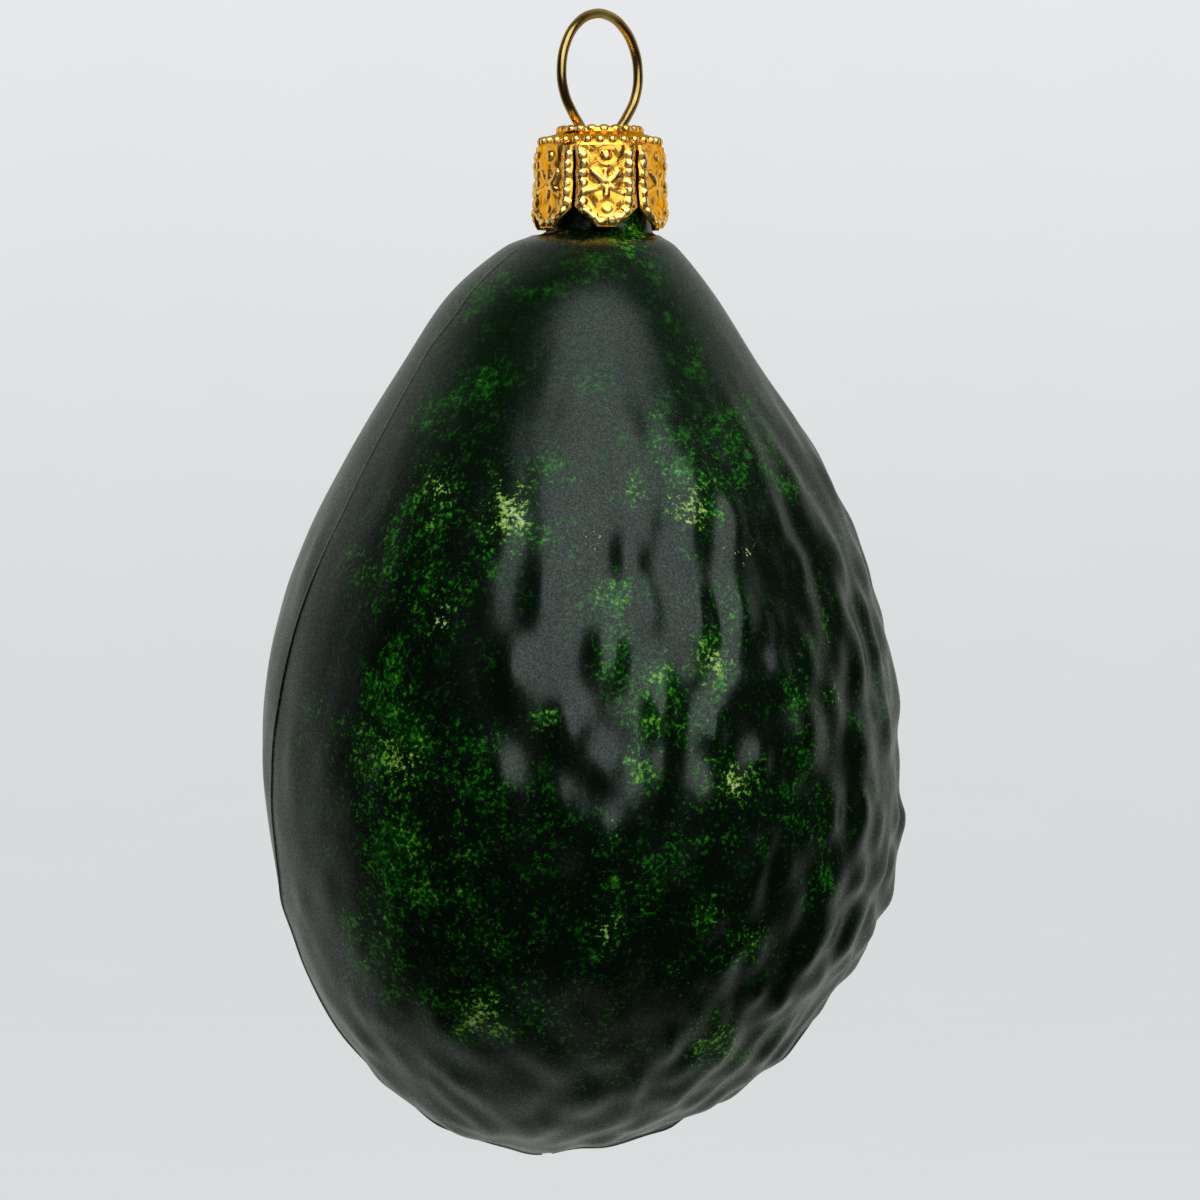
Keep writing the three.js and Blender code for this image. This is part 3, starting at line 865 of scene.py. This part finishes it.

# %% [markdown]
# ## Gilt sheet
#
# The crown is thin sheet with a warm gold-coloured finish. Raised parts are painted bright, partly as rubbed
# wear and partly as painted light, and the sunk field between them is painted deeper and more orange as
# painted shade. The stored height of the stamping says which is which.
# Fine creases from the press break up the reflections, and the tint of the metal's edges keeps them
# golden at a slant.

# %% Gilt material
# The bright gilt is painted light on the raised parts as well as rubbed wear; the deep orange gilt is painted
# shade in the sunk field.
GILT_RUBBED_AND_LIT = colour(1.0, 0.66, 0.24)
GILT_HOLLOW_SHADE = colour(0.92, 0.43, 0.05)
GILT_EDGE = colour(1.0, 0.66, 0.22)
CREASES, FINE_CREASES = 700.0, 3600.0


def close_metal(tree, tint, rough, edge, bump):
    close_material(tree, {
        "Base Color": tint,
        "Metallic": 1.0,
        "Roughness": rough,
        "Specular Tint": edge,
        "Normal": bump,
    })


def gilt():
    material, tree = new_material("gilt_sheet")
    where = tree.add("ShaderNodeTexCoord", output="Object")
    height = tree.attribute("stamped")
    patchy = tree.noise(where, CREASES, 3.0, 0.6)
    fine = tree.noise(where, FINE_CREASES, 2.0, 0.6)
    # Painted light and shade: raised parts are painted lighter, partly as rubbed wear and partly as painted
    # light, and the sunk field deeper orange as painted shade.
    rubbed_and_lit = tree.between(height * 2.5 + (patchy - 0.5) * 1.4, -0.1, 0.9)
    tint = tree.blend(rubbed_and_lit, GILT_HOLLOW_SHADE, GILT_RUBBED_AND_LIT)
    rough = tree.between(patchy, 0.35, 0.7, 0.17, 0.32)
    creases = patchy * 0.7 + fine * 0.3
    close_metal(tree, tint, rough, GILT_EDGE, tree.bump(creases, 0.7, 0.16))
    return material


gilt_sheet = gilt()
petal_copies = {"Count": PETALS, "First Turn": FRONT_PETAL, "Material": gilt_sheet}
petal.data = result_of(petal, turned_copies, petal_copies)
print("six petals", len(petal.data.polygons), "faces")

# %% [markdown]
# ## The top of the crown
#
# Above the slits the sheet closes to a shoulder, a raised rim and a flat plate in the middle. That part
# is round, so a profile is turned about the axis, and two slots are cut through plate and rim for the
# wire's legs. Beads pressed side by side make the rim scalloped, and a row of smaller ones runs round the
# shoulder.

# %% Plate, rim and shoulder
CROWN_SIDES = 180
CROWN_PROFILE = [
    [2.6, -10.62], [3.0, -10.6], [3.18, -10.48], [3.26, -10.25], [3.4, -10.12], [3.6, -10.08],
    [3.8, -10.12], [3.93, -10.25], [3.98, -10.5], [4.12, -10.68], [4.5, -10.78], [4.9, -10.95],
    [5.25, -11.2], [5.52, -11.5], [5.68, -11.8], [5.75, -12.1], [5.75, -12.34],
    [5.45, -12.34], [5.45, -12.1], [5.38, -11.95], [5.25, -11.7], [5.05, -11.45], [4.75, -11.25],
    [4.4, -11.08], [4.0, -10.98], [2.6, -10.92],
]
LOOP_TURN = math.radians(50)
SLOT_FROM, SLOT_TO, SLOT_HALF = 1.35, 4.25, 0.78
SLOT_HEIGHTS = (-12.0, -9.0)


def ring_points(profile, sides):
    """Rings of points about the axis, one for each radius and height of a profile."""
    turns = np.linspace(0, 2 * math.pi, sides, endpoint=False)
    rings = [np.column_stack([r * np.cos(turns), r * np.sin(turns), np.full(sides, z)]) for r, z in profile]
    return np.vstack(rings)


def turn_crown():
    middles = [[0, 0, CROWN_PROFILE[0][1]], [0, 0, CROWN_PROFILE[-1][1]]]
    points = np.vstack([ring_points(CROWN_PROFILE, CROWN_SIDES), middles])
    faces = ring_faces(len(CROWN_PROFILE), CROWN_SIDES)
    last = len(points) - 2
    low = last - CROWN_SIDES
    for side in range(CROWN_SIDES):
        after = (side + 1) % CROWN_SIDES
        faces += [(side, after, last), (low + after, low + side, last + 1)]
    return mesh_object("crown_top", points, faces, smooth_under=50)


def turned(across, beside, height):
    """A point of the loop's own plane, turned as the loop is."""
    c, s = math.cos(LOOP_TURN), math.sin(LOOP_TURN)
    return [across * c - beside * s, across * s + beside * c, height]


def slot_block(side):
    """A block where a leg of the wire goes through, as a tool for the cut."""
    corners = []
    for across in (SLOT_FROM, SLOT_TO):
        for beside in (-SLOT_HALF, SLOT_HALF):
            for height in SLOT_HEIGHTS:
                corners.append(turned(side * across, beside, height))
    faces = [(0, 1, 3, 2), (4, 6, 7, 5), (0, 4, 5, 1), (2, 3, 7, 6), (0, 2, 6, 4), (1, 5, 7, 3)]
    block = mesh_object("slot", corners, faces)
    fix = bmesh.new()
    fix.from_mesh(block.data)
    bmesh.ops.recalc_face_normals(fix, faces=fix.faces)
    fix.to_mesh(block.data)
    fix.free()
    return block


def cut_slots(crown):
    blocks = [slot_block(side) for side in (-1, 1)]
    for block in blocks:
        cut = crown.modifiers.new("slot", "BOOLEAN")
        cut.operation = "DIFFERENCE"
        cut.solver = "EXACT"
        cut.object = block
    crown.data = frozen(crown)
    for block in blocks:
        bpy.data.objects.remove(block)
    return crown


crown = cut_slots(turn_crown())
print("crown top", len(crown.data.polygons), "faces")

# %% Beads of the rim and the shoulder
RIM_BEADS, TOP_BEADS = 20, 30
BEAD_SIDES, BEAD_RINGS = 14, 9
# The beads are stored as raised, so the gilt paints them bright, partly as rubbed wear and partly as painted
# light.
BEAD_BRIGHT = 0.2
FIRST_RIM_BEAD, FIRST_TOP_BEAD = 0.1, FRONT_PETAL + math.pi / TOP_BEADS


def bead(name, radius, height, out, along, up):
    """A small oval bead, modelled where its first copy belongs."""
    ring = np.linspace(0, math.pi, BEAD_RINGS + 2)[1:-1]
    side = np.linspace(0, 2 * math.pi, BEAD_SIDES, endpoint=False)
    a, b = np.repeat(ring, BEAD_SIDES), np.tile(side, BEAD_RINGS)
    ball = [radius + out * np.sin(a) * np.cos(b), along * np.sin(a) * np.sin(b), height + up * np.cos(a)]
    points = np.vstack([np.column_stack(ball), [[radius, 0, height + up], [radius, 0, height - up]]])
    top, foot = len(points) - 2, len(points) - 1
    faces = ring_faces(BEAD_RINGS, BEAD_SIDES)
    low = top - BEAD_SIDES
    for i in range(BEAD_SIDES):
        after = (i + 1) % BEAD_SIDES
        faces += [(i, after, top), (low + after, low + i, foot)]
    piece = mesh_object(name, points, faces)
    store(piece.data, "stamped", np.full(len(points), BEAD_BRIGHT))
    return piece


rim_bead = bead("rim_bead", 3.6, -10.36, 0.46, 0.6, 0.46)
top_bead = bead("top_bead", 5.3, -11.4, 0.5, 0.46, 0.46)
rows = ((rim_bead, RIM_BEADS, FIRST_RIM_BEAD), (top_bead, TOP_BEADS, FIRST_TOP_BEAD))
for piece, count, first in rows:
    bead_copies = {"Count": count, "First Turn": first, "Material": gilt_sheet}
    piece.data = result_of(piece, turned_copies, bead_copies)
print("beads", RIM_BEADS + TOP_BEADS)

# %% The crown as one piece
def join(name, pieces):
    """Fuses several pieces into one new object under a new name, and removes the pieces."""
    whole = bmesh.new()
    whole.verts.layers.float.new("stamped")
    for piece in pieces:
        whole.from_mesh(piece.data)
    mesh = bpy.data.meshes.new(name)
    whole.to_mesh(mesh)
    whole.free()
    smooth(mesh, 50)
    for piece in pieces:
        bpy.data.objects.remove(piece)
    return put(name, mesh)


crown_cap = join("pressed_crown", [petal, crown, rim_bead, top_bead])
crown_cap.data.materials.clear()
crown_cap.data.materials.append(gilt_sheet)
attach(crown_cap, "root")
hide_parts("crown_cap")
print("crown", len(crown_cap.data.polygons), "faces")

# %% [markdown]
# ## The wire
#
# One length of hard wire makes the loop, goes down through the two slots and spreads below them against
# the inside of the neck. A wire has one section all along, so it is drawn as a path and given its
# thickness by Geometry Nodes: a circle swept along the curve. The tree also stores how far along and
# round the wire each point lies, so that the drawing marks of the finish can follow it round the bend.

# %% Wire path
WIRE_RADIUS = 0.45
LOOP_RADIUS = 5.47
LOOP_CENTRE = WIRE_RADIUS - LOOP_RADIUS
LOOP_LOWEST = math.radians(-46)
LOOP_STEPS = 11
LEG = [[2.75, -10.1], [2.2, -10.9], [2.15, -12.4], [2.7, -17.5], [3.6, -21.5], [6.4, -28.0]]


def wire_points():
    angles = np.linspace(LOOP_LOWEST, math.pi - LOOP_LOWEST, LOOP_STEPS + 1)
    loop = [[LOOP_RADIUS * math.cos(a), LOOP_CENTRE + LOOP_RADIUS * math.sin(a)] for a in angles]
    path = LEG[::-1] + loop + [[-across, height] for across, height in LEG]
    return [turned(across, 0, height) for across, height in path]


def wire_curve():
    curve = bpy.data.curves.new("wire_path", "CURVE")
    curve.dimensions = "3D"
    spline = curve.splines.new("BEZIER")
    points = wire_points()
    spline.bezier_points.add(len(points) - 1)
    for knot, point in zip(spline.bezier_points, points):
        knot.co = Vector(point) * MM
        knot.handle_left_type = knot.handle_right_type = "AUTO"
    spline.resolution_u = 16
    return put("wire_path", curve)


wire_path = wire_curve()
print("wire path", len(wire_path.data.splines[0].bezier_points), "knots")

# %% Wire swept along its path
def sweeping_tree():
    inputs = {"Geometry": "Geometry", "Radius": "Float", "Sides": "Int", "Step": "Float"}
    inputs["Material"] = "Material"
    group, tree, (path, radius, sides, step, material) = new_group("Drawn wire", inputs)
    way = tree.add("GeometryNodeSplineParameter", output="Length")
    share = tree.add("GeometryNodeSplineParameter", output="Factor")
    path = tree.add("GeometryNodeResampleCurve", {"mode": "LENGTH"}, {"Curve": path, "Length": step})
    section = tree.add("GeometryNodeCurvePrimitiveCircle", {}, {"Resolution": sides, "Radius": radius})
    keep = {"data_type": "FLOAT", "domain": "POINT"}
    along = {"Geometry": path, "Name": "along", "Value": way}
    path = tree.add("GeometryNodeStoreNamedAttribute", keep, along)
    around = {"Geometry": section, "Name": "round", "Value": share}
    section = tree.add("GeometryNodeStoreNamedAttribute", keep, around)
    sweep = {"Curve": path, "Profile Curve": section, "Fill Caps": True}
    close_group(tree, tree.add("GeometryNodeCurveToMesh", {}, sweep), material)
    return group


drawn_wire = sweeping_tree()
print("inputs", [i.name for i in drawn_wire.interface.items_tree if i.in_out == "INPUT"])

# %% [markdown]
# ## Brass wire
#
# Drawn wire shines along its length and carries fine scratches in the same direction. A noise stretched
# fiftyfold along the stored length gives them. The brass is toned in patches, where fingers have held it.

# %% Brass material
BRASS_CLEAN = colour(0.74, 0.54, 0.2)
BRASS_TONED = colour(0.46, 0.31, 0.09)
BRASS_EDGE = colour(0.9, 0.7, 0.4)
MARKS_ALONG, MARKS_ROUND, STAINS = 60.0, 9.0, 260.0


def brass():
    material, tree = new_material("drawn_brass")
    along, around = tree.attribute("along"), tree.attribute("round")
    drawn = tree.add("ShaderNodeCombineXYZ", {}, {"X": along * MARKS_ALONG, "Y": around * MARKS_ROUND})
    marks = tree.noise(drawn, 3.0, 2.0, 0.6)
    where = tree.add("ShaderNodeTexCoord", output="Object")
    stain = tree.between(tree.noise(where, STAINS, 3.0, 0.6), 0.35, 0.65)
    tint = tree.blend(stain * 0.8 + marks * 0.2, BRASS_CLEAN, BRASS_TONED)
    rough = tree.between(marks, 0.3, 0.7, 0.16, 0.28)
    close_metal(tree, tint, rough, BRASS_EDGE, tree.bump(marks, 0.3, 0.03))
    return material


drawn_brass = brass()
print("brass nodes", len(drawn_brass.node_tree.nodes))

# %% The wire as one piece
WIRE_SIDES, WIRE_STEP = 28, 0.22


def draw_wire():
    sizes = {"Radius": WIRE_RADIUS * MM, "Sides": WIRE_SIDES, "Step": WIRE_STEP * MM}
    mesh = result_of(wire_path, drawn_wire, {**sizes, "Material": drawn_brass})
    bpy.data.objects.remove(wire_path)
    smooth(mesh, 60)
    return put("hanging_wire", mesh)


wire = draw_wire()
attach(wire, "root")
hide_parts("wire_hanger")
print("wire", len(wire.data.polygons), "faces")

# %% [markdown]
# ## The studio
#
# The ornament hangs in a pale surround. A broad soft light in front and above gives the tall highlight on
# the belly. The surround is bright behind and below and dark beside the camera, which is what draws the
# grey edges round a glossy thing and keeps its middle deep. The surround that reflections see is the
# world. What the camera sees is a seamless pale bowl, floor and backdrop in one. Bright metal needs more
# to reflect than dark lacquer does, so a few more panels shine on the crown alone, which light linking
# allows.

# %% Camera
FRAME_HEIGHT = 110.4
CAMERA_HEIGHT = -53.5
CAMERA_AWAY = 800.0
SENSOR = 36.0


def place_camera():
    data = bpy.data.cameras.new("front")
    data.sensor_width = SENSOR
    data.lens = SENSOR * CAMERA_AWAY / FRAME_HEIGHT
    data.clip_start, data.clip_end = 0.01, 20
    camera = put("front", data)
    camera.location = Vector((0, -CAMERA_AWAY, CAMERA_HEIGHT)) * MM
    camera.rotation_euler = (math.radians(90), 0, 0)
    bpy.context.scene.camera = camera


place_camera()
bpy.context.scene.view_settings.view_transform = "Standard"
print("lens", round(bpy.context.scene.camera.data.lens), "mm")

# %% Pale bowl
BOWL = [[400, -150], [900, -150], [1300, -150], [1500, -130], [1700, -70], [1850, 50], [1950, 220],
        [2000, 450], [2000, 900], [2000, 1600]]
BOWL_SIDES = 64
PAPER, PAPER_LIT = colour(0.985, 0.993, 1.01), colour(0.3, 0.3, 0.305)
# The bowl glows by itself, more brightly higher up: painted light that stands in for the studio light on
# floor and backdrop.
PAPER_HEIGHTS, PAPER_GLOW = (-0.2, 0.22), (0.645, 0.815)


def pale_bowl():
    faces = ring_faces(len(BOWL), BOWL_SIDES) + [tuple(range(BOWL_SIDES))]
    bowl = mesh_object("pale_bowl", ring_points(BOWL, BOWL_SIDES), faces, smooth_under=180)
    material, tree = new_material("pale_paper")
    lit = tree.add("ShaderNodeBsdfDiffuse", {}, {"Color": PAPER_LIT})
    where = tree.add("ShaderNodeTexCoord", output="Object")
    # Painted light: the glow grows with height, lighter at the top of the backdrop and darker on the floor.
    glow = tree.between(tree.part(where, "Z"), *PAPER_HEIGHTS, *PAPER_GLOW)
    fibres = (tree.noise(where, 30.0, 3.0, 0.5) - 0.5) * 0.015
    own = tree.add("ShaderNodeEmission", {}, {"Color": PAPER, "Strength": glow + fibres})
    both = tree.add("ShaderNodeAddShader", {}, {0: lit, 1: own})
    tree.add("ShaderNodeOutputMaterial", {}, {"Surface": both})
    bowl.data.materials.append(material)
    bowl.visible_glossy = bowl.visible_diffuse = bowl.visible_shadow = False


pale_bowl()
print("bowl", 2 * BOWL[-1][0], "mm across")

# %% World
SKY = colour(0.95, 1.0, 0.92)
SKY_BRIGHT, SKY_DARK, SKY_BELOW = 0.41, 0.016, 0.45


def surround():
    """Bright behind the ornament and straight below it, dark elsewhere."""
    world = bpy.data.worlds.new("surround")
    world.use_nodes = True
    world.node_tree.nodes.clear()
    tree = Tree(world.node_tree)
    direction = tree.add("ShaderNodeTexCoord", output="Generated")
    behind = tree.between(tree.part(direction, "Y"), -0.15, 0.6)
    below = tree.between(tree.part(direction, "Z") * -1.0, 0.8, 1.0) * SKY_BELOW
    strength = (behind + below) * SKY_BRIGHT + SKY_DARK
    sky = tree.add("ShaderNodeBackground", {}, {"Color": SKY, "Strength": strength})
    tree.add("ShaderNodeOutputWorld", {}, {"Surface": sky})
    bpy.context.scene.world = world


surround()
print("world", bpy.context.scene.world.name)

# %% Soft lights
BELLY_LIGHTS = {"belly_panel": (15, 36, 600, 840, 900, 3.0)}
GILT_LIGHTS = {
    "glint": (-30, 45, 700, 140, 140, 0.8),
    "front_fill": (0, 0, 900, 2200, 1800, 2.0),
    "top_fill": (10, 60, 700, 900, 700, 1.7),
    "low_fill": (0, -50, 800, 1400, 1200, 0.9),
    "left_fill": (-110, 5, 700, 900, 900, 1.0),
    "right_fill": (110, 5, 700, 900, 900, 1.0),
}
LIT_HEIGHT = -60
LIGHT_COLOUR = (0.94, 0.97, 1.0)


def soft_light(name, turn, lift, away, width, height, watts):
    """A soft panel, seen from the ornament at a turn to the right and a lift, in degrees."""
    data = bpy.data.lights.new(name, "AREA")
    data.shape = "ELLIPSE"
    data.color = LIGHT_COLOUR
    data.size, data.size_y = width * MM, height * MM
    data.energy = watts
    light = put(name, data)
    a, e = math.radians(turn), math.radians(lift)
    towards = Vector((math.sin(a) * math.cos(e), -math.cos(a) * math.cos(e), math.sin(e)))
    light.location = Vector((0, 0, LIT_HEIGHT)) * MM + towards * away * MM
    light.rotation_mode = "QUATERNION"
    light.rotation_quaternion = towards.to_track_quat("Z", "Y")
    light.visible_camera = False
    return light


for name, numbers in BELLY_LIGHTS.items():
    soft_light(name, *numbers)
gilt_only = bpy.data.collections.new("gilt_only")
gilt_only.objects.link(crown_cap)
for name, numbers in GILT_LIGHTS.items():
    soft_light(name, *numbers).light_linking.receiver_collection = gilt_only
print("lights", [*BELLY_LIGHTS, *GILT_LIGHTS])
